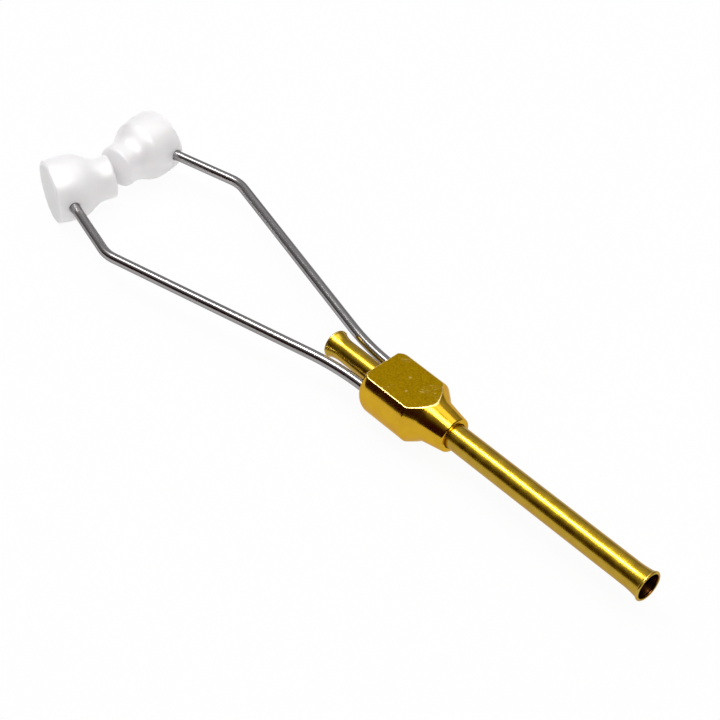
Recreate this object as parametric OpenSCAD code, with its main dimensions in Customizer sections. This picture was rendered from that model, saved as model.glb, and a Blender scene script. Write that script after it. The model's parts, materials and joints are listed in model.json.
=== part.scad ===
// Bobbin holder for fly tying: a turned body with two flats, a flared thread tube through it,
// and two spring wires that carry the feet between which a thread spool is held.
// +X runs along the tube towards the tip, +Z is square to the flats, and the origin lies on
// the tube's axis in the body's rear face. The left arm is the one on the +Y side.

/* [Body] */
// Diameter of the round bar that the body is turned from
body_d = 9.1; // [8:0.1:12]
// Thickness across the two milled flats
flats_t = 6.25; // [5.5:0.05:8]
// Length from the rear face to the shoulder
barrel_len = 8; // [6.5:0.1:14]
// Length of the nose, from the shoulder to its front face
nose_len = 5.7; // [5:0.1:9]
// Radius of the hollow between the nose's steep and slender parts
cove_r = 2; // [1:0.1:4]
// Slope of the steep part of the nose, next to the shoulder, in degrees
shoulder_slope = 36; // [30:1:45]
// Slope of the slender part of the nose, in degrees
neck_slope = 10; // [6:0.5:14]
// Metal around the front tube at the front face, where the slender part would end
neck_wall = 0.7; // [0.5:0.01:1]
// Rounding of the front face's edge
front_round_r = 0.3; // [0.1:0.01:0.4]
// Radius of the crowned rear edge
rear_crown_r = 1.8; // [1.4:0.1:3]
// Length of the crowned rear edge
rear_crown_len = 1.2; // [0.5:0.1:1.3]
// Bevel of the tube's mouth in the nose
mouth_bevel = 0.1; // [0.05:0.01:0.2]

/* [Front tube] */
// Outer diameter of the front tube
tube_d = 3.5; // [3.5:0.05:4.4]
// Distance from the body's rear face to the mouth of the front tube
tip_reach = 46.4; // [30:0.1:70]
// Diameter of the flared mouth, over its rolled edge
tip_flare_d = 4.25; // [4.2:0.05:5.4]
// Length of the flare at the mouth
tip_flare_len = 2.8; // [1:0.1:4]
// Radius of the rolled edge of the mouth
tip_roll_r = 0.2; // [0.12:0.01:0.25]

/* [Liner tube] */
// Outer diameter of the liner, which shows behind the body
liner_d = 3.1; // [2.9:0.05:3.3]
// Wall of the liner
liner_wall = 0.28; // [0.2:0.01:0.4]
// How far the liner's flared end stands behind the body's rear face
liner_tail = 9.3; // [6:0.1:15]
// Diameter of the liner's rear flare, over its rolled edge
tail_flare_d = 4; // [3.6:0.05:5]
// Length of the liner's rear flare
tail_flare_len = 2.2; // [1:0.1:3]
// Radius of the rolled edge of the rear flare
tail_roll_r = 0.19; // [0.14:0.01:0.25]
// How far the liner's front end lies inside the front tube's mouth
liner_setback = 3; // [1:0.1:5]

/* [Spring wires] */
// Diameter of the spring wire
wire_d = 1.5; // [1:0.1:1.7]
// Depth of the wire holes in the body
wire_depth = 5.5; // [4:0.1:6]
// Straight stub of wire behind the body, before it bends outwards
stub_len = 0.3; // [0.3:0.1:2]
// Angle between each straight run and the tube's axis, in degrees
spread_angle = 13.5; // [11:0.5:17]
// Radius of the easy bend behind the body, to the wire's centre line
root_bend_r = 42; // [30:1:60]
// Radius of the bend before the foot, to the wire's centre line
end_bend_r = 6; // [4:0.5:10]
// Distance from the body's rear face back to the wire's end in the foot's axis
arm_reach = 60.6; // [52:0.1:75]
// How far the wire goes into the foot past the foot's axis
wire_grip = 1.5; // [0.5:0.1:2.5]

/* [Spool feet] */
// Largest diameter of a foot
foot_d = 9.7; // [8.5:0.1:12]
// Length of a foot along its axis
foot_len = 9.6; // [8:0.1:12]
// Diameter of the nose that enters the spool
nose_d = 6.5; // [5.5:0.1:7.5]
// Length of the straight nose
foot_nose_len = 1.9; // [1.2:0.1:3]
// Length of the shoulder that eases the barrel down to the nose
foot_shoulder_len = 3.1; // [2:0.1:4]
// Radius of the crown along the barrel of a foot
crown_r = 14; // [10:1:30]
// Distance from the outer face to the widest place of the crown
crown_at = 2.2; // [1.5:0.1:3]
// Rounding of the outer edge of a foot
foot_edge_r = 0.45; // [0.2:0.05:0.8]
// Rounding of the nose's edge
nose_round_r = 0.5; // [0.2:0.05:0.8]
// Distance from the outer face to the axis of the wire's hole
hole_inset = 2; // [1.5:0.1:3.5]
// How far each foot is turned so that the two stand in line on a full spool, in degrees
foot_tilt = 13.5; // [10:0.5:18]
// Gap between the two noses at rest
nose_gap = 0.2; // [0.2:0.05:2]

/* [Fits] */
// Clearance all round a tube in its bore
tube_fit = 0.02; // [0.01:0.005:0.05]
// Clearance all round a wire in its hole
wire_fit = 0.02; // [0.01:0.005:0.05]
// Web of metal between the liner's bore and each wire hole
hole_web = 0.32; // [0.2:0.01:0.5]
// Metal between the wire holes' ends and the front tube's seat
seat_wall = 0.5; // [0.3:0.1:1]
// Where along its straight run each wire flexes, as a share of that run
flex_share = 0.25; // [0.15:0.01:0.5]
// Running gap around the rounded end where a wire flexes
flex_gap = 0.1; // [0.05:0.01:0.2]

/* [Hidden] */

$fn = 96;
arc_steps = 12;
foot_steps = 14;
wire_sides = 16;
bend_steps = 8;
ball_steps = 4;
// Radii of the rings down the socket at the flex, as shares of the wire's radius
socket_shares = [1, 0.8, 0.5, 0.2];
overrun = 1;

gold = [0.78, 0.62, 0.10];
steel = [0.50, 0.49, 0.49];
white = [0.95, 0.95, 0.96];

body_r = body_d / 2;
tube_r = tube_d / 2;
liner_r = liner_d / 2;
wire_r = wire_d / 2;
neck_r = tube_r + tube_fit + neck_wall;
body_len = barrel_len + nose_len;
tube_bore_r = tube_r + tube_fit;
liner_bore_r = liner_r + tube_fit;
wire_hole_r = wire_r + wire_fit;
wire_y = liner_bore_r + hole_web + wire_hole_r;
tube_seat_x = wire_depth + seat_wall;

// Path of the left wire, seen from above. It leaves the rear face along -X, bends outwards by
// the spread angle, runs straight, bends inwards and ends in the foot's axis.
nose_centre_y = nose_gap / 2 + (nose_d / 2 - nose_round_r) * sin(foot_tilt)
    + nose_round_r * (1 - cos(foot_tilt));
foot_axis_y = nose_centre_y + (foot_len - hole_inset) * cos(foot_tilt);
run_dir = [-cos(spread_angle), sin(spread_angle)];
end_dir = [-cos(foot_tilt), -sin(foot_tilt)];
stub_end = [-stub_len, wire_y];
root_bend_centre = stub_end + [0, root_bend_r];
run_start = root_bend_centre - root_bend_r * [sin(spread_angle), cos(spread_angle)];
end_bend_dx = -end_bend_r * (sin(spread_angle) + sin(foot_tilt));
end_bend_dy = end_bend_r * (cos(foot_tilt) - cos(spread_angle));
wire_end = [-arm_reach, foot_axis_y];
// The straight run is as long as it must be for the end run to meet the foot.
rest = wire_end - run_start - [end_bend_dx, end_bend_dy];
turn = sin(spread_angle + foot_tilt);
run_len = (rest.y * cos(foot_tilt) - rest.x * sin(foot_tilt)) / turn;
run_end = run_start + run_len * run_dir;
end_bend_centre = run_end - end_bend_r * [sin(spread_angle), cos(spread_angle)];
flex_point = run_start + run_len * flex_share * run_dir;
foot_dir = [sin(foot_tilt), -cos(foot_tilt)];
foot_face = wire_end - hole_inset * foot_dir;

function arc(centre, r, from, to) =
    [for (i = [0:arc_steps]) centre + r * dir(from + (to - from) * i / arc_steps)];

function dir(angle) = [cos(angle), sin(angle)];

// Turns an outline of [x, r] points about the X axis.
module turned(outline) {
    rotate([0, 90, 0])
        rotate_extrude()
            polygon([for (p = outline) [p.y, p.x]]);
}

// A straight round hole between two points of the arms' plane.
module hole(from, to) {
    run = to - from;
    translate([from.x, from.y, 0])
        rotate([0, 90, atan2(run.y, run.x)])
            cylinder(h = norm(run), r = wire_hole_r);
}

// A wire is swept through stations in the arms' plane, each one [point, heading, radius].
function ring(station) =
    let (point = station[0], heading = station[1], r = station[2])
        [for (i = [0:wire_sides - 1])
            let (a = 360 * i / wire_sides, side = r * cos(a))
                [point.x - side * sin(heading), point.y + side * cos(heading), r * sin(a)]];

// Stations along a bend: dir(angle) points from the bend's centre to the wire.
function bend(centre, bend_r, from, to) =
    [for (i = [0:bend_steps])
        let (angle = from + (to - from) * i / bend_steps)
            [centre + bend_r * dir(angle), angle + 90 * sign(to - from), wire_r]];

module sweep(stations) {
    last = len(stations) - 1;
    polyhedron(
        points = [for (s = stations) each ring(s)],
        faces = concat(
            [[for (i = [0:wire_sides - 1]) i]],
            [for (n = [0:last - 1], i = [0:wire_sides - 1])
                let (j = (i + 1) % wire_sides, here = n * wire_sides, next = here + wire_sides)
                    [here + i, next + i, next + j, here + j]],
            [[for (i = [wire_sides - 1:-1:0]) last * wire_sides + i]]
        )
    );
}

// The right arm is the left arm seen in a mirror.
module on_side(side) {
    mirror([0, side == "right" ? 1 : 0, 0])
        children();
}

// The nose falls steeply from the shoulder, eases round a cove, and goes on as a slender cone
// to the rounded edge of its front face. The two slopes meet at a corner that the cove rounds.
steep_len = (body_r - neck_r - nose_len * tan(neck_slope)) / (tan(shoulder_slope) - tan(neck_slope));
cove_corner = [barrel_len + steep_len, body_r - steep_len * tan(shoulder_slope)];
cove_tangent = cove_r * tan((shoulder_slope - neck_slope) / 2);
cove_centre = cove_corner
    + cove_tangent * [-cos(shoulder_slope), sin(shoulder_slope)]
    + cove_r * [sin(shoulder_slope), cos(shoulder_slope)];
// The rounded edge touches the slender cone and the front face.
front_centre = [
    body_len - front_round_r,
    neck_r + front_round_r * (tan(neck_slope) - 1 / cos(neck_slope))
];
rear_crown_centre = [rear_crown_len, body_r - rear_crown_r];

function body_outline() = concat(
    [[0, 0]],
    arc(rear_crown_centre, rear_crown_r, 90 + asin(rear_crown_len / rear_crown_r), 90),
    [[barrel_len, body_r]],
    arc(cove_centre, cove_r, 270 - shoulder_slope, 270 - neck_slope),
    arc(front_centre, front_round_r, 90 - neck_slope, 0),
    [[body_len, 0]]
);

module body() {
    color(gold)
        difference() {
            intersection() {
                turned(body_outline());
                translate([0, -body_d / 2, -flats_t / 2])
                    cube([body_len, body_d, flats_t]);
            }
            // The liner's bore, opened out from the front for the front tube
            translate([-overrun, 0, 0])
                rotate([0, 90, 0])
                    cylinder(h = body_len + 2 * overrun, r = liner_bore_r);
            translate([tube_seat_x, 0, 0])
                rotate([0, 90, 0])
                    cylinder(h = body_len - tube_seat_x + overrun, r = tube_bore_r);
            turned([
                [body_len - mouth_bevel, 0],
                [body_len - mouth_bevel, tube_bore_r],
                [body_len + overrun, tube_bore_r + mouth_bevel + overrun],
                [body_len + overrun, 0]
            ]);
            // The blind holes for the two wires
            for (y = [-wire_y, wire_y])
                hole([-overrun, y], [wire_depth, y]);
        }
}

// A flare is an arc that leaves the tube's wall along X and ends where its rolled edge has
// the wanted diameter. It is drawn opening towards +X from the origin of the flare.
function flare_angle(rise, length) = 2 * atan(rise / length);
function flare_bend_r(rise, length) = length / sin(flare_angle(rise, length));
function flare_arc(r, bend_r, angle) = arc([0, r + bend_r], bend_r, 270, 270 + angle);

// Half section of a flared end in [x, r] points, from the outside round to the bore.
function flare_outline(outer_r, wall, rise, length) =
    let (angle = flare_angle(rise, length), bend_r = flare_bend_r(rise, length))
        concat(
            flare_arc(outer_r, bend_r, angle),
            reverse(flare_arc(outer_r - wall, bend_r + wall, angle))
        );

// Middle of the wall at the very end of a flare.
function flare_end(outer_r, wall, rise, length) =
    let (angle = flare_angle(rise, length), mid_bend_r = flare_bend_r(rise, length) + wall / 2)
        [0, outer_r - wall / 2 + mid_bend_r] + mid_bend_r * dir(270 + angle);

function reverse(list) = [for (i = [len(list) - 1:-1:0]) list[i]];

function shifted(list, x) = [for (p = list) [p.x + x, p.y]];

// The rolled edge at the end of a flare.
module roll(centre, r) {
    rotate([0, 90, 0])
        rotate_extrude()
            translate([centre.y, centre.x])
                circle(r = r);
}

tube_wall = tube_r - liner_r - tube_fit;
tip_rise = tip_flare_d / 2 - tip_roll_r - tube_r + tube_wall / 2;
tip_flare_run = tip_flare_len - tip_roll_r;
tip_flare_x = tip_reach - tip_flare_len;
tip_end = flare_end(tube_r, tube_wall, tip_rise, tip_flare_run);

module front_tube() {
    color(gold)
        union() {
            turned(concat(
                [[tube_seat_x, tube_r]],
                shifted(flare_outline(tube_r, tube_wall, tip_rise, tip_flare_run), tip_flare_x),
                [[tube_seat_x, tube_r - tube_wall]]
            ));
            roll([tip_flare_x + tip_end.x, tip_end.y], tip_roll_r);
        }
}

tail_rise = tail_flare_d / 2 - tail_roll_r - liner_r + liner_wall / 2;
tail_flare_run = tail_flare_len - tail_roll_r;
tail_flare_x = liner_tail - tail_flare_len;
liner_front_x = tip_reach - liner_setback;
tail_end = flare_end(liner_r, liner_wall, tail_rise, tail_flare_run);

module liner_tube() {
    color(gold)
        mirror([1, 0, 0])
            union() {
                turned(concat(
                    [[-liner_front_x, liner_r]],
                    shifted(flare_outline(liner_r, liner_wall, tail_rise, tail_flare_run), tail_flare_x),
                    [[-liner_front_x, liner_r - liner_wall]]
                ));
                roll([tail_flare_x + tail_end.x, tail_end.y], tail_roll_r);
            }
}

// The part of a wire that stays with the body, from the bottom of its hole to the flex,
// where it ends in a round socket.
module wire_root(side) {
    socket_r = wire_r + flex_gap;
    color(steel)
        on_side(side)
            sweep(concat(
                [[[wire_depth, wire_y], 180, wire_r]],
                bend(root_bend_centre, root_bend_r, 270, 270 - spread_angle),
                [for (share = socket_shares)
                    let (r = wire_r * share, back = sqrt(pow(socket_r, 2) - pow(r, 2)))
                        [flex_point - back * run_dir, 180 - spread_angle, r]]
            ));
}

// The part of a wire that swings out, from its rounded end at the flex to its end in the foot.
module swing_wire(side) {
    color(steel)
        on_side(side)
            sweep(concat(
                [for (i = [1:ball_steps])
                    let (a = 90 * i / ball_steps)
                        [flex_point - wire_r * cos(a) * run_dir, 180 - spread_angle, wire_r * sin(a)]],
                bend(end_bend_centre, end_bend_r, 90 - spread_angle, 90 + foot_tilt),
                [[wire_end + wire_grip * end_dir, 180 + foot_tilt, wire_r]]
            ));
}

// Radius of a foot at the distance s from its outer face: a crowned barrel that eases down
// to the nose along half a cosine wave.
shoulder_start = foot_len - foot_nose_len - foot_shoulder_len;
function crown(s) = foot_d / 2 - crown_r + sqrt(pow(crown_r, 2) - pow(s - crown_at, 2));
function ease(t) = (1 - cos(180 * t)) / 2;
function foot_radius(s) =
    let (w = ease(min(1, max(0, (s - shoulder_start) / foot_shoulder_len))))
        crown(s) * (1 - w) + nose_d / 2 * w;

function foot_outline() = concat(
    [[0, 0]],
    arc([foot_edge_r, crown(foot_edge_r) - foot_edge_r], foot_edge_r, 180, 90),
    [for (i = [1:foot_steps])
        let (s = foot_edge_r + (shoulder_start - foot_edge_r) * i / foot_steps)
            [s, foot_radius(s)]],
    [for (i = [1:foot_steps])
        let (s = shoulder_start + foot_shoulder_len * i / foot_steps)
            [s, foot_radius(s)]],
    arc([foot_len - nose_round_r, nose_d / 2 - nose_round_r], nose_round_r, 90, 0),
    [[foot_len, 0]]
);

module foot(side) {
    color(white)
        on_side(side)
            difference() {
                translate([foot_face.x, foot_face.y, 0])
                    rotate([0, 0, foot_tilt - 90])
                        turned(foot_outline());
                hole(wire_end - foot_d * end_dir, wire_end + wire_grip * end_dir);
            }
}

module left_wire_root() { wire_root("left"); }
module right_wire_root() { wire_root("right"); }
module left_wire() { swing_wire("left"); }
module right_wire() { swing_wire("right"); }
module left_foot() { foot("left"); }
module right_foot() { foot("right"); }

body();
front_tube();
liner_tube();
left_wire_root();
right_wire_root();
left_wire();
right_wire();
left_foot();
right_foot();
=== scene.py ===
import json
from math import asin, atan, atan2, cos, hypot, pi, radians, sin, sqrt, tan

import bmesh
import bpy
from mathutils import Matrix, Vector

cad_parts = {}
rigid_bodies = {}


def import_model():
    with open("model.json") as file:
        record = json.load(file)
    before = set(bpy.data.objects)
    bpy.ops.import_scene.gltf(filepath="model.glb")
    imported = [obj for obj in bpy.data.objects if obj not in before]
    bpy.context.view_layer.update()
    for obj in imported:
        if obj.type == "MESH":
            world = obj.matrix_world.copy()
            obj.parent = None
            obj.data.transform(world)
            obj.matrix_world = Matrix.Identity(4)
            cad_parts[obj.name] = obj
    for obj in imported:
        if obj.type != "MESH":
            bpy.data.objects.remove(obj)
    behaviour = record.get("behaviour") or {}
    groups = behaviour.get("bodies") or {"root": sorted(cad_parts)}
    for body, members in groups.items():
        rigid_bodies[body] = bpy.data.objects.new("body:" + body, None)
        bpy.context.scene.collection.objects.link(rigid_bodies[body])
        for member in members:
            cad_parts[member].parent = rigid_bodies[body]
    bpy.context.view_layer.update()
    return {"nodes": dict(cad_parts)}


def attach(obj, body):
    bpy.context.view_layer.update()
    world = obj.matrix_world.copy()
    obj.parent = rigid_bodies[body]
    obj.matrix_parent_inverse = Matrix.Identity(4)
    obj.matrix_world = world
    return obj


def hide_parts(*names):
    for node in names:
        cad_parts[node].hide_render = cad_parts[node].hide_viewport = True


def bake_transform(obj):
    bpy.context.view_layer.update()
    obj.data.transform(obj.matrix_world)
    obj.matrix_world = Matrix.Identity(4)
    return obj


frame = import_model()
mm = 0.001
sharpAngle = 35
print("frame loaded:", len(frame["nodes"]), "nodes")


def directionAt(angle):
    return Vector((cos(angle), sin(angle)))


def arcPoints(centre, radius, start, end, steps):
    turns = [start + (end - start) * i / steps for i in range(steps + 1)]
    return [Vector(centre) + radius * directionAt(a) for a in turns]


def roundCorners(corners, steps=6, tangentWear=0.4):
    # corners are (x, r, fillet), the result is (x, r, edge), where edge is 1 along a fillet
    line = []
    for i, (x, r, fillet) in enumerate(corners):
        here = Vector((x, r))
        if fillet == 0 or i in (0, len(corners) - 1):
            line.append((x, r, 0.0))
            continue
        before = (Vector(corners[i - 1][:2]) - here).normalized()
        after = (Vector(corners[i + 1][:2]) - here).normalized()
        half = before.angle(after) / 2
        centre = here + (before + after).normalized() * fillet / sin(half)
        first = here + before * fillet / tan(half) - centre
        last = here + after * fillet / tan(half) - centre
        turn = first.angle_signed(last)
        start = atan2(first.y, first.x)
        for k in range(steps + 1):
            point = centre + fillet * directionAt(start - turn * k / steps)
            line.append((point.x, point.y, 1.0 if 0 < k < steps else tangentWear))
    return line


def fillSpans(line, step, almostOne=0.999):
    # adds points so that no span of the outline is longer than step
    out = [line[0]]
    for a, b in zip(line, line[1:]):
        count = max(1, int(hypot(b[0] - a[0], b[1] - a[1]) / step + almostOne))
        for k in range(1, count + 1):
            t = k / count
            edge = b[2] if k == count else min(a[2], b[2])
            out.append((a[0] + (b[0] - a[0]) * t, a[1] + (b[1] - a[1]) * t, edge))
    return out


def joinRows(bm, rows, closed=False):
    # a row of one point closes the surface there
    pairs = list(zip(rows, rows[1:])) + ([(rows[-1], rows[0])] if closed else [])
    for a, b in pairs:
        n = max(len(a), len(b))
        for j in range(n):
            k = (j + 1) % n
            if len(a) == 1:
                bm.faces.new((a[0], b[k], b[j]))
            elif len(b) == 1:
                bm.faces.new((a[j], a[k], b[0]))
            else:
                bm.faces.new((a[j], a[k], b[k], b[j]))


def softMin(a, b, blend):
    # the smaller value with a rounded change-over, and how near to the change-over it is
    near = max(blend - abs(a - b), 0) / blend
    return min(a, b) - near * near * blend / 4, near


def newObject(name, bm):
    mesh = bpy.data.meshes.new(name)
    bm.to_mesh(mesh)
    bm.free()
    made = bpy.data.objects.new(name, mesh)
    bpy.context.scene.collection.objects.link(made)
    return made


def finishPiece(name, bm, nodes, body, sharp=sharpAngle):
    # the point values "edge" and "grain" (the place in mm) steer the finishes
    if bm.verts.layers.float.get("edge") is None:
        bm.verts.layers.float.new("edge")
    if bm.verts.layers.float_vector.get("grain") is None:
        grainLayer = bm.verts.layers.float_vector.new("grain")
        for v in bm.verts:
            v[grainLayer] = v.co / mm
    piece = newObject(name, bm)
    piece.data.polygons.foreach_set("use_smooth", [True] * len(piece.data.polygons))
    piece.data.set_sharp_from_angle(angle=radians(sharp))
    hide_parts(*nodes)
    if body:
        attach(piece, body)
    return piece


# lengths in mm and angles in degrees, in every dictionary of this file
bodyShape = {
    "barRadius": 4.55,
    "halfFlats": 3.125,
    "barrel": 8.0,
    "nose": 5.7,
    "shoulderSlope": 36,
    "neckSlope": 10,
    "coveRadius": 2.0,
    "neckRadius": 2.47,
    "frontRound": 0.3,
    "shoulderRound": 0.35,
    "rearCrown": 1.8,
    "rearCrownLength": 1.2,
    "rearRound": 0.08,
    "flatEdgeRound": 0.11,
    "mouthBevel": 0.1,
    "mouthRound": 0.03,
    "tubeBore": 1.77,
    "fineBore": 1.6,
    "linerBore": 1.57,
    "tubeSeat": 5.9,
    "wireHole": 0.77,
    "wireHoleDepth": 5.6,
    "wireY": 2.66,
    "holeChamfer": 0.09,
    "holeRound": 0.05,
    "holeSides": 48,
    "shoulderWear": 0.2,
    "rimWear": 0.35,
    "arcSteps": 14,
    "rowStep": 0.09,
    "edgeSpan": 3,
    "steepestEdge": 84,
    "quarterCounts": (16, 12, 10),
}


def bodyOutline(s):
    steep, gentle = radians(s["shoulderSlope"]), radians(s["neckSlope"])
    endX = s["barrel"] + s["nose"]
    steepRun = (s["barRadius"] - s["neckRadius"] - s["nose"] * tan(gentle)) / (tan(steep) - tan(gentle))
    corner = Vector((s["barrel"] + steepRun, s["barRadius"] - steepRun * tan(steep)))
    cove = s["coveRadius"]
    toTangent = cove * tan((steep - gentle) / 2)
    outward = Vector((sin(steep), cos(steep)))
    centre = corner + toTangent * Vector((-cos(steep), sin(steep))) + cove * outward
    coveArc = arcPoints(centre, cove, 1.5 * pi - steep, 1.5 * pi - gentle, s["arcSteps"])

    crown = (s["rearCrownLength"], s["barRadius"] - s["rearCrown"])
    crownStart = pi / 2 + asin(s["rearCrownLength"] / s["rearCrown"])
    crownArc = arcPoints(crown, s["rearCrown"], crownStart, pi / 2, s["arcSteps"])
    rear = roundCorners([(0, crownArc[0].y - 1, 0), (*crownArc[0], s["rearRound"]), (*crownArc[1], 0)])
    line = rear[1:] + [(*p, 0.0) for p in crownArc[2:]]
    shoulder = roundCorners([
        (*crownArc[-1], 0), (s["barrel"], s["barRadius"], s["shoulderRound"]), (*coveArc[0], 0),
    ], steps=8)
    line += [(x, r, edge * s["shoulderWear"]) for x, r, edge in shoulder[1:]]
    line += [(*p, 0.0) for p in coveArc[1:]]

    fr = s["frontRound"]
    rim = (endX - fr, s["neckRadius"] + fr * (tan(gentle) - 1 / cos(gentle)))
    line += [(*p, s["rimWear"]) for p in arcPoints(rim, fr, pi / 2 - gentle, 0, 10)]
    bevel, soft = s["mouthBevel"], s["mouthRound"]
    line += roundCorners([
        (endX, rim[1], 0), (endX, s["tubeBore"] + bevel, soft), (endX - bevel, s["tubeBore"], soft),
        (endX - s["fineBore"], s["tubeBore"], 0),
    ], steps=3)[1:]
    return fillSpans(line, s["rowStep"]) + [(s["tubeSeat"], s["tubeBore"], 0.0)]


def bodySection(x, r, s):
    # one ring in the YZ plane: the turned circle, cut by the flats, with more points at the flats' edges
    back = s["rearRound"]
    h = s["halfFlats"] - (back - sqrt(back**2 - (back - x) ** 2) if x < back else 0)
    edgeAngle = min(asin(min(1.0, h / r)), radians(s["steepestEdge"]))
    w = radians(s["edgeSpan"])
    stops = (0, edgeAngle - w, edgeAngle + w, pi / 2)
    spans = zip(stops, stops[1:], s["quarterCounts"])
    quarter = [a + (b - a) * k / n for a, b, n in spans for k in range(n)]
    angles = quarter + [pi - a for a in [pi / 2, *reversed(quarter[1:])]]
    angles += [a + pi for a in angles]
    ring = []
    for a in angles:
        reach = h / max(abs(sin(a)), 1e-6)
        rho, near = softMin(r, reach, s["flatEdgeRound"])
        ring.append((rho * cos(a), rho * sin(a), near, 1.0 if reach < r else 0.0))
    return ring


def joinSeat(bm, outer, inner):
    # the flat step between two bores whose rings differ in count, both starting at the same angle
    turn = [[atan2(v.co.z, v.co.y) % (2 * pi) for v in ring[1:]] + [2 * pi] for ring in (outer, inner)]
    i = j = 0
    while i < len(outer) or j < len(inner):
        a, b = outer[i % len(outer)], inner[j % len(inner)]
        if j == len(inner) or (i < len(outer) and turn[0][i] <= turn[1][j]):
            i += 1
            bm.faces.new((a, outer[i % len(outer)], b))
        else:
            j += 1
            bm.faces.new((a, inner[j % len(inner)], b))


def buildBody(s):
    bm = bmesh.new()
    edgeLayer = bm.verts.layers.float.new("edge")
    flatLayer = bm.verts.layers.float.new("flat")
    boreLayer = bm.verts.layers.float.new("bore")
    endX = s["barrel"] + s["nose"]
    # the bores' painted shade starts a hair inside the rear face and on the front bevel
    inside, dark = 0.01, s["tubeBore"] + s["mouthBevel"] * 0.8
    rows = []
    for x, r, edge in bodyOutline(s):
        row = []
        for y, z, near, flat in bodySection(x, r, s):
            v = bm.verts.new((x * mm, y * mm, z * mm))
            v[edgeLayer] = max(near, edge * (1 - flat), 1.0 if flat and x < s["rearRound"] else 0.0)
            v[flatLayer] = flat
            v[boreLayer] = 1.0 if r < dark else 0.0
            row.append(v)
        rows.append(row)
    joinRows(bm, rows)
    loops = [rows[0]]
    holes = [(0, s["linerBore"], s["tubeSeat"])]
    holes += [(side * s["wireY"], s["wireHole"], s["wireHoleDepth"]) for side in (1, -1)]
    for y, r, depth in holes:
        wall = []
        corners = [(0, r + s["holeChamfer"], 0), (0, r, s["holeRound"]), (depth, r, 0)]
        for x, ringR, _ in roundCorners(corners, steps=4):
            ring = []
            for k in range(s["holeSides"]):
                a = 2 * pi * k / s["holeSides"]
                v = bm.verts.new((x * mm, (y + ringR * cos(a)) * mm, ringR * sin(a) * mm))
                v[boreLayer] = 1.0 if x > inside else 0.0
                ring.append(v)
            wall.append(ring)
        joinRows(bm, wall[::-1])
        loops.append(wall[0])
        if y:
            end = bm.verts.new((depth * mm, y * mm, 0))
            end[boreLayer] = 1.0
            joinRows(bm, [[end], wall[-1]])
        else:
            joinSeat(bm, rows[-1], wall[-1])
    # the rear face, with its three holes
    border = []
    for ring in loops:
        border += [bm.edges.get((a, b)) for a, b in zip(ring, ring[1:] + ring[:1])]
    filled = bmesh.ops.triangle_fill(bm, use_beauty=True, use_dissolve=False, edges=border)
    for f in filled["geom"]:
        if isinstance(f, bmesh.types.BMFace):
            f.normal_update()
            if f.normal.x > 0:
                f.normal_flip()
    print("body reaches x =", round(endX, 2), "mm")
    return finishPiece("turnedBody", bm, ["body"], "holder")


body = buildBody(bodyShape)
print("body:", len(body.data.polygons), "faces")

tubeDetail = {
    "softAngles": (0, 0.4, 0.8, 1.2),
    "softWear": 0.8,
    "rollWear": 0.6,
    "startShade": 0.1,
    "flareSteps": 22,
    "rollSteps": 30,
    "rollOutside": 20,
    "runSteps": 24,
    "sides": 112,
}
frontTubeShape = {
    **tubeDetail,
    "outerRadius": 1.75,
    "wall": 0.18,
    "start": 6.0,
    "mouth": 46.4,
    "flareRadius": 2.125,
    "flareLength": 2.8,
    "rollRadius": 0.2,
    "startRound": 0.05,
}
linerShape = {
    **tubeDetail,
    "outerRadius": 1.55,
    "wall": 0.28,
    "start": -43.4,
    "mouth": 9.3,
    "flareRadius": 2.0,
    "flareLength": 2.2,
    "rollRadius": 0.19,
    "startRound": 0.1,
}


def tubeOutline(s):
    # (x, r, edge, bore) from the start along the outer wall, round the rolled mouth and back inside;
    # bore is the share of painted shade inside
    outer, wall, roll = s["outerRadius"], s["wall"], s["rollRadius"]
    rise = s["flareRadius"] - roll - outer + wall / 2
    run = s["flareLength"] - roll
    angle = 2 * atan(rise / run)
    bend = run / sin(angle)
    centre = Vector((s["mouth"] - s["flareLength"], outer + bend))
    down = 1.5 * pi
    middle = centre + (bend + wall / 2) * directionAt(down + angle)
    opening = asin(wall / 2 / roll)
    stop = down + angle - roll * cos(opening) / (bend + wall / 2)
    soft, start, wear = s["startRound"], s["start"], s["softWear"]
    softened = [(start + soft * (1 - cos(a)), soft * (1 - sin(a))) for a in s["softAngles"]]
    line = [(x, outer - inset, wear, 0.0) for x, inset in softened]
    line.append((start + soft, outer, 0.0, 0.0))
    line += [(*p, 0.0, 0.0) for p in arcPoints(centre, bend, down, stop, s["flareSteps"])]
    rolled = arcPoints(middle, roll, angle + pi - opening, angle - pi + opening, s["rollSteps"])
    line += [(*p, s["rollWear"], 0.0 if i < s["rollOutside"] else 1.0) for i, p in enumerate(rolled)]
    inner = arcPoints(centre, bend + wall, down, stop, s["flareSteps"])
    line += [(*p, 0.0, 1.0) for p in reversed(inner)]
    line.append((start + soft, outer - wall, 0.0, 1.0))
    line += [(x, outer - wall + inset, wear, s["startShade"]) for x, inset in reversed(softened)]
    return line


def buildTube(name, s, node, flip):
    bm = bmesh.new()
    edgeLayer = bm.verts.layers.float.new("edge")
    boreLayer = bm.verts.layers.float.new("bore")
    side = -1 if flip else 1
    line = tubeOutline(s)
    # the long straight run gets points of its own
    run, steps = len(s["softAngles"]), s["runSteps"]
    near, far = line[run][0], line[run + 1][0]
    between = [near + (far - near) * k / steps for k in range(1, steps)]
    line[run + 1:run + 1] = [(x, s["outerRadius"], 0.0, 0.0) for x in between]
    rows = []
    for x, r, edge, bore in line:
        row = []
        for k in range(s["sides"]):
            a = side * 2 * pi * k / s["sides"]
            v = bm.verts.new((side * x * mm, r * cos(a) * mm, r * sin(a) * mm))
            v[edgeLayer] = edge
            v[boreLayer] = bore
            row.append(v)
        rows.append(row)
    joinRows(bm, rows, closed=True)
    bmesh.ops.recalc_face_normals(bm, faces=bm.faces)
    return finishPiece(name, bm, [node], "holder")


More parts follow.
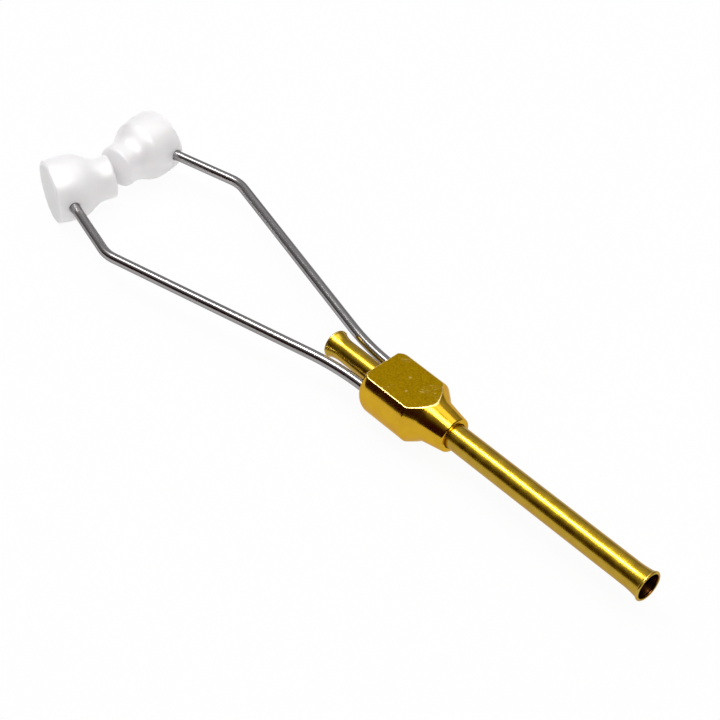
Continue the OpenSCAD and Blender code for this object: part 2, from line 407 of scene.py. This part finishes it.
frontTube = buildTube("threadTube", frontTubeShape, "front_tube", False)
linerTube = buildTube("linerTube", linerShape, "liner_tube", True)
print("tubes:", len(frontTube.data.polygons), "and", len(linerTube.data.polygons), "faces")

wireShape = {
    "radius": 0.75,
    "sides": 32,
    "holeEnd": 5.5,
    "y": bodyShape["wireY"],
    "stub": 0.3,
    "spread": 13.5,
    "rootBend": 42.0,
    "endBend": 6.0,
    "tilt": 13.5,
    "runEnd": (-42.9598, 11.7083),
    "end": (-60.6, 8.1458),
    "grip": 1.5,
    "flexFrom": 2.0,
    "flexTo": -40.0,
    "rootSteps": 24,
    "runSteps": 40,
    "endSteps": 20,
    "gripSteps": 12,
    "grainShift": 90,
    "sharp": 50,
}


def wireStations(s):
    # (point, heading) along the left wire, from the bottom of its hole to its end in the foot
    spread, tilt = radians(s["spread"]), radians(s["tilt"])
    stations = [(Vector((s["holeEnd"], s["y"])), pi), (Vector((0.0, s["y"])), pi)]
    root = Vector((-s["stub"], s["y"] + s["rootBend"]))
    for k in range(s["rootSteps"] + 1):
        a = 1.5 * pi - spread * k / s["rootSteps"]
        stations.append((root + s["rootBend"] * directionAt(a), a - pi / 2))
    runStart, runEnd = stations[-1][0], Vector(s["runEnd"])
    for k in range(1, s["runSteps"]):
        stations.append((runStart.lerp(runEnd, k / s["runSteps"]), pi - spread))
    centre = runEnd - s["endBend"] * Vector((sin(spread), cos(spread)))
    for k in range(s["endSteps"] + 1):
        a = pi / 2 - spread + (spread + tilt) * k / s["endSteps"]
        stations.append((centre + s["endBend"] * directionAt(a), a + pi / 2))
    bendEnd = stations[-1][0]
    last = Vector(s["end"]) - s["grip"] * Vector((cos(tilt), sin(tilt)))
    for k in range(1, s["gripSteps"] + 1):
        stations.append((bendEnd.lerp(last, k / s["gripSteps"]), pi + tilt))
    return stations


def buildWire(name, s, nodes, side):
    bm = bmesh.new()
    grainLayer = bm.verts.layers.float_vector.new("grain")
    rows, along, before = [], 0.0, None
    for point, heading in wireStations(s):
        along += (point - before).length if before else 0.0
        before = point
        row = []
        for k in range(s["sides"]):
            a = side * 2 * pi * k / s["sides"]
            out = s["radius"] * cos(a)
            x, y = point.x + out * sin(heading), point.y - out * cos(heading)
            v = bm.verts.new((x * mm, side * y * mm, s["radius"] * sin(a) * mm))
            v[grainLayer] = (along + s["grainShift"] * (side > 0), out, s["radius"] * sin(a))
            row.append(v)
        rows.append(row)
    joinRows(bm, rows)
    bm.faces.new(rows[0][::-1])
    bm.faces.new(rows[-1])
    bmesh.ops.recalc_face_normals(bm, faces=bm.faces)
    wire = finishPiece(name, bm, nodes, None, sharp=s["sharp"])
    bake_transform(wire)
    return wire


leftWire = buildWire("leftSpringWire", wireShape, ["left_wire_root", "left_wire"], 1)
rightWire = buildWire("rightSpringWire", wireShape, ["right_wire_root", "right_wire"], -1)
print("wires:", len(leftWire.data.polygons), "faces each")

footShape = {
    "radius": 4.85,
    "length": 9.6,
    "noseRadius": 3.25,
    "noseLength": 1.5,
    "shoulder": 3.9,
    "crownRadius": 14.0,
    "crownAt": 2.2,
    "edgeRound": 0.45,
    "noseRound": 0.5,
    "noseDome": 14.5,
    "tilt": {1: 8.8, -1: 17.2},
    "wireTilt": wireShape["tilt"],
    "wireEnd": wireShape["end"],
    "holeInset": 2.0,
    "holeRadius": 0.79,
    "holeDepth": wireShape["grip"],
    "holeSides": 48,
    "mouthReach": (0.10, -0.12),
    "mouthWiden": 0.12,
    "drillHead": 1.9,
    "mergeWithin": 0.001,
    "rimWear": 0.8,
    "noseWear": 0.3,
    "capSteps": 8,
    "rimSteps": 12,
    "wallSteps": 60,
    "noseSteps": 10,
    "grainShift": 20,
    "sides": 144,
}


def footRadius(t, s):
    # the crowned barrel goes over into the nose by one smooth swing
    crown = s["radius"] - s["crownRadius"] + sqrt(s["crownRadius"] ** 2 - (t - s["crownAt"]) ** 2)
    start = s["length"] - s["noseLength"] - s["shoulder"]
    w = min(1, max(0, (t - start) / s["shoulder"]))
    w = (1 - cos(pi * w)) / 2
    return crown * (1 - w) + s["noseRadius"] * w


def footOutline(s):
    # (t, r, edge) from the middle of the flat end along the side to the middle of the domed nose
    e, n = s["edgeRound"], s["noseRound"]
    rim, caps, walls, ends = footRadius(e, s), s["capSteps"], s["wallSteps"], s["noseSteps"]
    line = [(0.0, (rim - e) * k / caps, 0.0) for k in range(caps)]
    line += [(*p, s["rimWear"]) for p in arcPoints((e, rim - e), e, pi, pi / 2, s["rimSteps"])]
    stop = s["length"] - n
    wall = [e + (stop - e) * k / walls for k in range(1, walls + 1)]
    line += [(t, footRadius(t, s), 0.0) for t in wall]
    dome = radians(s["noseDome"])
    nose = arcPoints((stop, s["noseRadius"] - n), n, pi / 2, dome, ends)
    line += [(*p, s["noseWear"]) for p in nose[1:]]
    x, r, _ = line[-1]
    shares = [1 - k / ends for k in range(1, ends + 1)]
    line += [(x + r * tan(dome) / 2 * (1 - share**2), r * share, 0.0) for share in shares]
    return line


def drillBody(s, end, heading):
    # the hole's cutter: a pin along the wire with a wider, softly countersunk mouth at the foot's skin
    bm = bmesh.new()
    across = Vector((heading.y, -heading.x, 0))
    skin, hole, sides = s["radius"], s["holeRadius"], s["holeSides"]
    outside, within = s["mouthReach"]
    places = [
        (skin * 2, s["drillHead"]), (skin + outside, hole + s["mouthWiden"]),
        (skin + within, hole), (-s["holeDepth"], hole),
    ]
    turns = [2 * pi * k / sides for k in range(sides)]
    rings = []
    for d, r in places:
        spokes = [across * r * cos(a) + Vector((0, 0, r * sin(a))) for a in turns]
        rings.append([bm.verts.new((end - heading * d + spoke) * mm) for spoke in spokes])
    joinRows(bm, rings)
    bm.faces.new(rings[0][::-1])
    bm.faces.new(rings[-1])
    bmesh.ops.recalc_face_normals(bm, faces=bm.faces)
    return newObject("drill", bm)


def buildFoot(name, s, node, arm, side):
    bm = bmesh.new()
    edgeLayer = bm.verts.layers.float.new("edge")
    grainLayer = bm.verts.layers.float_vector.new("grain")
    # pressed on by hand, the two feet don't lean quite alike
    tilt, wireTilt = radians(s["tilt"][side]), radians(s["wireTilt"])
    axis = Vector((sin(tilt), -side * cos(tilt), 0))
    across = Vector((side * cos(tilt), sin(tilt), 0))
    wireEnd = Vector((s["wireEnd"][0], side * s["wireEnd"][1], 0))
    face = wireEnd - axis * s["holeInset"]
    rows = []
    for t, r, edge in footOutline(s):
        count = 1 if r < 1e-6 else s["sides"]
        row = []
        for k in range(count):
            a = 2 * pi * k / count
            v = bm.verts.new((face + axis * t + across * r * cos(a) + Vector((0, 0, r * sin(a)))) * mm)
            v[edgeLayer] = edge
            v[grainLayer] = (t, r * cos(a) + s["grainShift"] * side, r * sin(a))
            row.append(v)
        rows.append(row)
    joinRows(bm, rows)
    bmesh.ops.recalc_face_normals(bm, faces=bm.faces)
    foot = finishPiece(name, bm, [node], arm)
    cutter = drillBody(s, wireEnd, Vector((-cos(wireTilt), -side * sin(wireTilt), 0)))
    cut = foot.modifiers.new("hole", "BOOLEAN")
    cut.operation, cut.solver, cut.object = "DIFFERENCE", "EXACT", cutter
    bpy.context.view_layer.update()
    drilled = bpy.data.meshes.new_from_object(foot.evaluated_get(bpy.context.evaluated_depsgraph_get()))
    foot.modifiers.clear()
    # the cut leaves a few slivers at the hole's mouth
    bm = bmesh.new()
    bm.from_mesh(drilled)
    bmesh.ops.dissolve_degenerate(bm, edges=bm.edges, dist=s["mergeWithin"] * mm)
    bm.to_mesh(drilled)
    bm.free()
    foot.data = drilled
    foot.data.set_sharp_from_angle(angle=radians(sharpAngle))
    bpy.data.objects.remove(cutter)
    return foot


leftFoot = buildFoot("leftSpoolFoot", footShape, "left_foot", "left_arm", 1)
rightFoot = buildFoot("rightSpoolFoot", footShape, "right_foot", "right_arm", -1)
print("feet:", len(leftFoot.data.polygons), "faces each")


# the part of a noise's range that a colour or a roughness uses
toneRange, shineRange = (0.35, 0.65), (0.3, 0.7)


def addNode(tree, kind, inputs=(), **settings):
    node = tree.nodes.new("ShaderNode" + kind)
    for key, value in settings.items():
        setattr(node, key, value)
    for key, value in dict(inputs).items():
        feed(tree, value, node.inputs[key])
    return node


def feed(tree, value, socket):
    # a value is a number, a vector, a colour or another node's output
    if isinstance(value, bpy.types.NodeSocket):
        tree.links.new(value, socket)
    else:
        socket.default_value = value


def mixColour(tree, factor, a, b):
    node = addNode(tree, "Mix", data_type="RGBA")
    for index, value in ((0, factor), (6, a), (7, b)):
        feed(tree, (*value, 1) if isinstance(value, tuple) else value, node.inputs[index])
    return node.outputs[2]


def mathNode(tree, operation, a, b=0.0):
    return addNode(tree, "Math", {0: a, 1: b}, operation=operation).outputs[0]


def spread(tree, value, low, high, outLow=0.0, outHigh=1.0, smooth=False):
    kind = "SMOOTHSTEP" if smooth else "LINEAR"
    inputs = {"Value": value, "From Min": low, "From Max": high, "To Min": outLow, "To Max": outHigh}
    return addNode(tree, "MapRange", inputs, interpolation_type=kind).outputs[0]


def pointValue(tree, name, output="Fac"):
    return addNode(tree, "Attribute", attribute_name=name).outputs[output]


def newGroup(name, inputs, outputs):
    group = bpy.data.node_groups.new(name, "ShaderNodeTree")
    for label, value in inputs.items():
        socket = group.interface.new_socket(label, in_out="INPUT", socket_type="NodeSocketFloat")
        socket.default_value = value
    for label in outputs:
        group.interface.new_socket(label, in_out="OUTPUT", socket_type="NodeSocketFloat")
    return group, group.nodes.new("NodeGroupInput"), group.nodes.new("NodeGroupOutput")


def useGroup(tree, group, values, output):
    node = tree.nodes.new("ShaderNodeGroup")
    node.node_tree = group
    for label, value in values.items():
        feed(tree, value, node.inputs[label])
    return node.outputs[output]


def stretched(group, along, across):
    # the place on the piece in mm, divided by one length along it and another across it
    steps = addNode(group, "CombineXYZ", {0: along, 1: across, 2: across}).outputs[0]
    place = pointValue(group, "grain", "Vector")
    return addNode(group, "VectorMath", {0: place, 1: steps}, operation="DIVIDE").outputs[0]


def noiseAt(group, place, detail, scale=1.0):
    return addNode(group, "TexNoise", {"Vector": place, "Scale": scale, "Detail": detail}).outputs[0]


def makeMottle():
    # soft patches of one size: uneven plating, handling haze
    group, given, out = newGroup("mottle", {"Size": 1.0, "Detail": 3.0}, ["Value"])
    place = stretched(group, given.outputs["Size"], given.outputs["Size"])
    feed(group, noiseAt(group, place, given.outputs["Detail"]), out.inputs["Value"])
    return group


def makeToolMarks():
    # lines left by turning or drawing: short in one direction, long in the other
    group, given, out = newGroup("toolMarks", {"Along": 0.1, "Across": 10.0, "Detail": 2.0}, ["Value"])
    place = stretched(group, given.outputs["Along"], given.outputs["Across"])
    noise = noiseAt(group, place, given.outputs["Detail"])
    feed(group, spread(group, noise, *shineRange), out.inputs["Value"])
    return group


def makeEdgeWear():
    # corners rubbed bright, broken up so that no edge is even; on the body this mask also carries a
    # painted highlight along the flats' edges
    inputs = {"Start": 0.3, "Full": 0.9, "Breakup": 0.3, "Size": 0.5}
    group, given, out = newGroup("edgeWear", inputs, ["Mask"])
    place = stretched(group, given.outputs["Size"], given.outputs["Size"])
    offset = mathNode(group, "SUBTRACT", noiseAt(group, place, 3.0), 0.5)
    shift = mathNode(group, "MULTIPLY", offset, given.outputs["Breakup"])
    worn = mathNode(group, "ADD", pointValue(group, "edge"), shift)
    mask = spread(group, worn, given.outputs["Start"], given.outputs["Full"], smooth=True)
    feed(group, mask, out.inputs["Mask"])
    return group


hairShape = {
    "axis": (0.1, 0.2, 1),
    "turn": 0.9,
    "stretch": (6.0, 0.5, 1.0),
    "patchScale": 0.6,
    "patchRange": (0.56, 0.62),
}


def makeFlecks(s):
    # stray dots, and short hairline scratches that lie in patches
    group, given, out = newGroup("flecks", {"Spacing": 1.0, "Dot": 0.1, "Hair": 0.03}, ["Dots", "Hairs"])
    place = stretched(group, given.outputs["Spacing"], given.outputs["Spacing"])
    cells = addNode(group, "TexVoronoi", {"Vector": place, "Scale": 1.0, "Randomness": 1.0})
    chance = addNode(group, "SeparateColor", {0: cells.outputs["Color"]}).outputs[0]
    size = mathNode(group, "MULTIPLY", given.outputs["Dot"], chance)
    dots = mathNode(group, "LESS_THAN", cells.outputs["Distance"], size)
    feed(group, dots, out.inputs["Dots"])
    inputs = {"Vector": place, "Axis": s["axis"], "Angle": s["turn"]}
    turned = addNode(group, "VectorRotate", inputs).outputs[0]
    thin = addNode(group, "VectorMath", {0: turned, 1: s["stretch"]}, operation="MULTIPLY").outputs[0]
    off = mathNode(group, "ABSOLUTE", mathNode(group, "SUBTRACT", noiseAt(group, thin, 0.0), 0.5))
    hair = mathNode(group, "LESS_THAN", off, given.outputs["Hair"])
    patch = spread(group, noiseAt(group, place, 1.0, s["patchScale"]), *s["patchRange"])
    feed(group, mathNode(group, "MULTIPLY", hair, patch), out.inputs["Hairs"])
    return group


mottle = makeMottle()
toolMarks = makeToolMarks()
edgeWear = makeEdgeWear()
flecks = makeFlecks(hairShape)


def newMaterial(name, **sockets):
    mat = bpy.data.materials.new(name)
    mat.use_nodes = True
    shader = mat.node_tree.nodes["Principled BSDF"]
    for label, value in sockets.items():
        shader.inputs[label].default_value = value
    return mat, mat.node_tree, shader


def addBump(tree, shader, layers):
    # layers are (height, depth in mm), laid over one another
    normal = None
    for height, depth in layers:
        bump = addNode(tree, "Bump", {"Height": height, "Distance": depth * mm, "Strength": 1.0})
        if normal:
            tree.links.new(normal, bump.inputs["Normal"])
        normal = bump.outputs[0]
    tree.links.new(normal, shader.inputs["Normal"])


# in the finishes a group's values are named as its inputs are, in mm, and colours are linear
bodyFinish = {
    "gold": (0.61, 0.36, 0.010),
    # the flats' gold is the turned gold dimmed to about 0.6: painted shade for the dimmer reflection the
    # flats show
    "goldDeep": (0.55, 0.31, 0.006),
    "shadedFlatGold": (0.365, 0.213, 0.0026),
    "flatFleck": (0.62, 0.45, 0.12),
    # pale gold along the flats' edges and the rims: partly wear, partly a painted highlight
    "edgeWearAndHighlight": (0.86, 0.66, 0.30),
    # near-black for the bores and the inner part of the mouth's bevel: painted shade
    "boreShade": (0.035, 0.009, 0.004),
    "grazing": (0.78, 0.58, 0.16, 1),
    "coat": 0.23,
    "roughness": (0.13, 0.19),
    "flatRoughness": (0.27, 0.34),
    "edgeRoughness": 0.45,
    "patches": {"Size": 2.2, "Detail": 3.0},
    "fine": {"Size": 0.2, "Detail": 2.0},
    "rings": {"Along": 0.11, "Across": 14.0},
    "wear": {"Start": 0.35, "Full": 0.95, "Breakup": 0.35, "Size": 0.6},
    "dots": {"Spacing": 1.5, "Dot": 0.15, "Hair": 0.02},
    "hairs": {"Spacing": 1.3, "Dot": 0.1, "Hair": 0.025},
    "milledRange": (0.35, 0.7),
    "milledDark": 0.87,
    "markShare": 0.55,
    "wearShare": 0.8,
    "ringDepth": 0.0010,
    "orangePeel": 0.004,
    "flatGrain": 0.0007,
}
platedSockets = {"Metallic": 1.0, "Coat IOR": 1.6, "Coat Roughness": 0.12}


def makeGoldBody(f):
    mat, tree, shader = newMaterial("goldBody", **platedSockets, **{"Specular Tint": f["grazing"]})
    patches = useGroup(tree, mottle, f["patches"], "Value")
    fine = useGroup(tree, mottle, f["fine"], "Value")
    rings = useGroup(tree, toolMarks, f["rings"], "Value")
    worn = useGroup(tree, edgeWear, f["wear"], "Mask")
    dots = useGroup(tree, flecks, f["dots"], "Dots")
    hairs = useGroup(tree, flecks, f["hairs"], "Hairs")
    flat = pointValue(tree, "flat")
    turned = mixColour(tree, spread(tree, patches, *toneRange), f["goldDeep"], f["gold"])
    # the flats take the dimmed gold, painted shade; the fine noise mixes in a still deeper random tone
    flatDeep = tuple(c * f["milledDark"] for c in f["shadedFlatGold"])
    shadedFlatTone = mixColour(tree, spread(tree, fine, *f["milledRange"]), flatDeep, f["shadedFlatGold"])
    marks = mathNode(tree, "MULTIPLY", mathNode(tree, "MAXIMUM", dots, hairs), f["markShare"])
    colour = mixColour(tree, flat, turned, mixColour(tree, marks, shadedFlatTone, f["flatFleck"]))
    # the edge mask lays pale gold on the flats' edges and rims: rubbed wear together with a painted
    # highlight
    colour = mixColour(tree, mathNode(tree, "MULTIPLY", worn, f["wearShare"]), colour, f["edgeWearAndHighlight"])
    # the bores and the mouth's bevel are painted dark: painted shade in the recesses
    colour = mixColour(tree, pointValue(tree, "bore"), colour, f["boreShade"])
    tree.links.new(colour, shader.inputs["Base Color"])
    shine = spread(tree, patches, *shineRange, *f["roughness"])
    dull = spread(tree, fine, *shineRange, *f["flatRoughness"])
    rough = addNode(tree, "Mix", {0: flat, 2: shine, 3: dull}).outputs[0]
    rough = addNode(tree, "Mix", {0: worn, 2: rough, 3: f["edgeRoughness"]}).outputs[0]
    tree.links.new(rough, shader.inputs["Roughness"])
    notFlat = mathNode(tree, "SUBTRACT", 1.0, flat)
    tree.links.new(mathNode(tree, "MULTIPLY", notFlat, f["coat"]), shader.inputs["Coat Weight"])
    addBump(tree, shader, [
        (mathNode(tree, "MULTIPLY", rings, notFlat), f["ringDepth"]),
        (mathNode(tree, "MULTIPLY", fine, notFlat), f["orangePeel"]),
        (mathNode(tree, "MULTIPLY", fine, flat), f["flatGrain"]),
    ])
    return mat


tubeFinish = {
    "gold": (0.45, 0.285, 0.008),
    "goldDeep": (0.39, 0.235, 0.004),
    "rimGold": (0.52, 0.345, 0.04),
    # near-black inside the bore and on the rolled lip's inner side: painted shade
    "bore": (0.085, 0.030, 0.006),
    "grazing": (0.72, 0.54, 0.16, 1),
    "coat": 0.40,
    "boreCoat": 0.05,
    "roughness": (0.22, 0.30),
    "patches": {"Size": 1.6, "Detail": 3.0},
    "peel": {"Size": 0.22, "Detail": 2.0},
    "lines": {"Along": 9.0, "Across": 0.16},
    "wear": {"Start": 0.3, "Full": 0.75, "Breakup": 0.3, "Size": 0.5},
    "dots": {"Spacing": 1.4, "Dot": 0.09, "Hair": 0.01},
    "dotShare": 0.3,
    "wearShare": 0.8,
    "peelDepth": 0.0080,
    "lineDepth": 0.0006,
}


def makeGoldTube(f):
    mat, tree, shader = newMaterial("goldTube", **platedSockets, **{"Specular Tint": f["grazing"]})
    patches = useGroup(tree, mottle, f["patches"], "Value")
    peel = useGroup(tree, mottle, f["peel"], "Value")
    lines = useGroup(tree, toolMarks, f["lines"], "Value")
    worn = useGroup(tree, edgeWear, f["wear"], "Mask")
    dots = useGroup(tree, flecks, f["dots"], "Dots")
    colour = mixColour(tree, spread(tree, patches, *toneRange), f["goldDeep"], f["gold"])
    colour = mixColour(tree, mathNode(tree, "MULTIPLY", dots, f["dotShare"]), colour, f["goldDeep"])
    colour = mixColour(tree, mathNode(tree, "MULTIPLY", worn, f["wearShare"]), colour, f["rimGold"])
    # the inside of the tube is painted near-black and loses most of its coat: painted shade in the bore
    colour = mixColour(tree, pointValue(tree, "bore"), colour, f["bore"])
    tree.links.new(colour, shader.inputs["Base Color"])
    tree.links.new(spread(tree, patches, *shineRange, *f["roughness"]), shader.inputs["Roughness"])
    coat = spread(tree, pointValue(tree, "bore"), 0.0, 1.0, f["coat"], f["boreCoat"])
    tree.links.new(coat, shader.inputs["Coat Weight"])
    addBump(tree, shader, [(peel, f["peelDepth"]), (lines, f["lineDepth"])])
    return mat


wireFinish = {
    "steel": (0.42, 0.405, 0.405),
    "steelDark": (0.30, 0.285, 0.285),
    "grazing": (0.46, 0.45, 0.46, 1),
    "roughness": (0.14, 0.21),
    "patches": {"Size": 3.0, "Detail": 3.0},
    "lines": {"Along": 14.0, "Across": 0.13},
    "dots": {"Spacing": 0.8, "Dot": 0.12, "Hair": 0.01},
    "lineRange": (0.2, 0.9),
    "patchRange": (0.4, 0.7),
    "patchShare": 0.25,
    "dotShare": 0.25,
    "lineDepth": 0.0003,
    "patchDepth": 0.002,
}


def makeWireSteel(f):
    mat, tree, shader = newMaterial("wireSteel", **{"Metallic": 1.0, "Specular Tint": f["grazing"]})
    patches = useGroup(tree, mottle, f["patches"], "Value")
    lines = useGroup(tree, toolMarks, f["lines"], "Value")
    dots = useGroup(tree, flecks, f["dots"], "Dots")
    colour = mixColour(tree, spread(tree, lines, *f["lineRange"]), f["steelDark"], f["steel"])
    stain = spread(tree, patches, *f["patchRange"], 0.0, f["patchShare"])
    colour = mixColour(tree, stain, colour, f["steelDark"])
    colour = mixColour(tree, mathNode(tree, "MULTIPLY", dots, f["dotShare"]), colour, f["steelDark"])
    tree.links.new(colour, shader.inputs["Base Color"])
    tree.links.new(spread(tree, patches, *shineRange, *f["roughness"]), shader.inputs["Roughness"])
    addBump(tree, shader, [(lines, f["lineDepth"]), (patches, f["patchDepth"])])
    return mat


plasticFinish = {
    "white": (0.95, 0.94, 0.945),
    "shade": (0.92, 0.905, 0.92),
    "edge": (0.96, 0.95, 0.955),
    "roughness": (0.32, 0.40),
    "refraction": 1.5,
    "glowWeight": 0.6,
    "glowRadius": (1.0, 0.9, 0.87),
    "glowScale": 0.002,
    "patches": {"Size": 2.6, "Detail": 2.0},
    "rings": {"Along": 0.25, "Across": 16.0},
    "wear": {"Start": 0.3, "Full": 0.8, "Breakup": 0.3, "Size": 0.8},
    "latheDepth": 0.0008,
}


def makeWhitePlastic(f):
    mat, tree, shader = newMaterial("whitePlastic", **{
        "IOR": f["refraction"], "Subsurface Weight": f["glowWeight"],
        "Subsurface Radius": f["glowRadius"], "Subsurface Scale": f["glowScale"],
    })
    patches = useGroup(tree, mottle, f["patches"], "Value")
    rings = useGroup(tree, toolMarks, f["rings"], "Value")
    worn = useGroup(tree, edgeWear, f["wear"], "Mask")
    colour = mixColour(tree, spread(tree, patches, *toneRange), f["shade"], f["white"])
    colour = mixColour(tree, worn, colour, f["edge"])
    tree.links.new(colour, shader.inputs["Base Color"])
    tree.links.new(spread(tree, patches, *shineRange, *f["roughness"]), shader.inputs["Roughness"])
    addBump(tree, shader, [(rings, f["latheDepth"])])
    return mat


goldBody = makeGoldBody(bodyFinish)
goldTube = makeGoldTube(tubeFinish)
wireSteel = makeWireSteel(wireFinish)
whitePlastic = makeWhitePlastic(plasticFinish)
finished = (
    (goldBody, [body]), (goldTube, [frontTube, linerTube]),
    (wireSteel, [leftWire, rightWire]), (whitePlastic, [leftFoot, rightFoot]),
)
for mat, pieces in finished:
    for piece in pieces:
        piece.data.materials.clear()
        piece.data.materials.append(mat)
print("materials ready")

studio = {
    "floorLevel": -footShape["radius"],
    "floorRadius": 3000,
    "floorSides": 96,
    "floorGlow": 0.95,
    "floorTone": 0.93,
    "tentRadius": 1600,
    "tentFoot": -0.06,
    # azimuth and elevation of the tent's brightest place, and tones by the cosine of the angle from it
    "tentBright": (128, 43),
    "tentStops": [
        (-1.0, (0.022, 0.004, 0.004)), (0.0, (0.032, 0.005, 0.005)), (0.10, (0.050, 0.014, 0.012)),
        (0.20, (0.12, 0.10, 0.10)), (0.32, (0.21, 0.205, 0.205)), (0.50, (0.25, 0.245, 0.25)),
        (0.70, (0.31, 0.31, 0.315)), (0.86, (0.39, 0.39, 0.395)), (0.97, (0.54, 0.54, 0.54)),
    ],
    "lampHeight": 600,
    # name, range of x / height, range of y / height, radiance, whether it also lights matt surfaces
    "lamps": [
        ("overheadCore", (-0.80, -0.56), (-0.14, 0.02), 11.0, True),
        ("tubeCore", (-0.56, -0.24), (-0.13, 0.02), 48.0, False),
        ("noseCore", (-0.20, 0.90), (-0.28, 0.02), 20.0, False),
        ("overheadStrip", (-0.75, 0.90), (-0.24, 0.03), 4.2, True),
        ("overheadPanel", (-0.85, 0.95), (-0.42, 0.28), 0.9, True),
        ("rearPanel", (-0.32, 0.40), (0.08, 0.90), 1.7, True),
    ],
    # fills that no metal mirrors: name, azimuth, elevation, distance, size, radiance
    "fills": [
        ("frontFill", -32, 16, 800, (800, 500), 1.38),
        ("topFill", 150, 62, 900, (800, 800), 0.20),
    ],
}


def skyward(azimuth, elevation):
    a, e = radians(azimuth), radians(elevation)
    return Vector((cos(a) * cos(e), sin(a) * cos(e), sin(e)))


def plainTree(name):
    mat = bpy.data.materials.new(name)
    mat.use_nodes = True
    mat.node_tree.nodes.clear()
    return mat, mat.node_tree, addNode(mat.node_tree, "OutputMaterial")


def buildFloor(s):
    bm = bmesh.new()
    bmesh.ops.create_circle(bm, cap_ends=True, segments=s["floorSides"], radius=s["floorRadius"] * mm)
    floor = newObject("studioFloor", bm)
    floor.location.z = s["floorLevel"] * mm
    mat, tree, out = plainTree("paleFloor")
    tone = s["floorTone"]
    diffuse = addNode(tree, "BsdfDiffuse", {"Color": (tone, tone, tone, 1)})
    glow = addNode(tree, "Emission", {"Strength": 1.0})
    path = addNode(tree, "LightPath")
    seen = mathNode(tree, "MAXIMUM", path.outputs["Is Camera Ray"], path.outputs["Is Glossy Ray"])
    seen = mathNode(tree, "MAXIMUM", seen, path.outputs["Is Transmission Ray"])
    share = mathNode(tree, "MULTIPLY", seen, s["floorGlow"])
    mix = addNode(tree, "MixShader", {0: share, 1: diffuse.outputs[0], 2: glow.outputs[0]})
    tree.links.new(mix.outputs[0], out.inputs[0])
    floor.data.materials.append(mat)


def buildTent(s):
    # a cloth dome, pale behind the object and dark on the camera's side, which the metal mirrors
    bm = bmesh.new()
    bmesh.ops.create_icosphere(bm, subdivisions=5, radius=s["tentRadius"] * mm)
    for v in [v for v in bm.verts if v.co.z < s["tentFoot"] * s["tentRadius"] * mm]:
        bm.verts.remove(v)
    tent = newObject("lightTent", bm)
    tent.visible_camera = False
    mat, tree, out = plainTree("tentCloth")
    place = addNode(tree, "TexCoord").outputs["Object"]
    unit = addNode(tree, "VectorMath", {0: place}, operation="NORMALIZE").outputs[0]
    bright = skyward(*s["tentBright"])
    dot = addNode(tree, "VectorMath", {0: unit, 1: bright}, operation="DOT_PRODUCT").outputs["Value"]
    ramp = addNode(tree, "ValToRGB", {0: spread(tree, dot, -1.0, 1.0)})
    stops = s["tentStops"]
    while len(ramp.color_ramp.elements) < len(stops):
        ramp.color_ramp.elements.new(0.5)
    for element, (at, colour) in zip(ramp.color_ramp.elements, stops):
        element.position, element.color = (at + 1) / 2, (*colour, 1)
    glow = addNode(tree, "Emission", {"Color": ramp.outputs[0], "Strength": 1.0})
    tree.links.new(glow.outputs[0], out.inputs[0])
    tent.data.materials.append(mat)


def areaLamp(name, width, depth, radiance):
    lamp = bpy.data.lights.new(name, "AREA")
    lamp.shape = "RECTANGLE"
    lamp.size, lamp.size_y = width * mm, depth * mm
    lamp.energy = radiance * pi * lamp.size * lamp.size_y
    stand = bpy.data.objects.new(name, lamp)
    stand.visible_camera = False
    bpy.context.scene.collection.objects.link(stand)
    return stand


def addLamp(name, xSlopes, ySlopes, radiance, diffuse, height):
    sides = [(slopes[1] - slopes[0]) * height for slopes in (xSlopes, ySlopes)]
    stand = areaLamp(name, *sides, radiance)
    stand.location = (sum(xSlopes) / 2 * height * mm, sum(ySlopes) / 2 * height * mm, height * mm)
    stand.visible_diffuse = diffuse


def addFill(name, azimuth, elevation, distance, size, radiance):
    stand = areaLamp(name, *size, radiance)
    out = skyward(azimuth, elevation)
    stand.location = out * distance * mm
    stand.rotation_euler = out.to_track_quat("Z", "Y").to_euler()
    stand.visible_glossy = False


buildFloor(studio)
buildTent(studio)
for fill in studio["fills"]:
    addFill(*fill)
for lamp in studio["lamps"]:
    addLamp(*lamp, studio["lampHeight"])

world = bpy.data.worlds.new("paleWorld")
world.use_nodes = True
world.node_tree.nodes["Background"].inputs["Color"].default_value = (1, 1, 1, 1)
world.node_tree.nodes["Background"].inputs["Strength"].default_value = 1.0
bpy.context.scene.world = world
bpy.context.scene.view_settings.view_transform = "Standard"
print("studio ready")

viewpoint = {
    "place": (124.37, -115.38, 167.97),
    "azimuth": 48.13,
    "elevation": 44.1,
    "lens": 91.17,
    "sensor": 36,
    "clip": (10, 20000),
}


def placeCamera(s):
    a, e = radians(s["azimuth"]), radians(s["elevation"])
    back = Vector((sin(a) * cos(e), -cos(a) * cos(e), sin(e)))
    right = Vector((cos(a), sin(a), 0))
    up = back.cross(right)
    data = bpy.data.cameras.new("photoCamera")
    data.lens, data.sensor_width = s["lens"], s["sensor"]
    data.clip_start, data.clip_end = (v * mm for v in s["clip"])
    camera = bpy.data.objects.new("photoCamera", data)
    turn = Matrix((right, up, back)).transposed().to_4x4()
    camera.matrix_world = Matrix.Translation(Vector(s["place"]) * mm) @ turn
    bpy.context.scene.collection.objects.link(camera)
    bpy.context.scene.camera = camera


placeCamera(viewpoint)
print("camera ready")
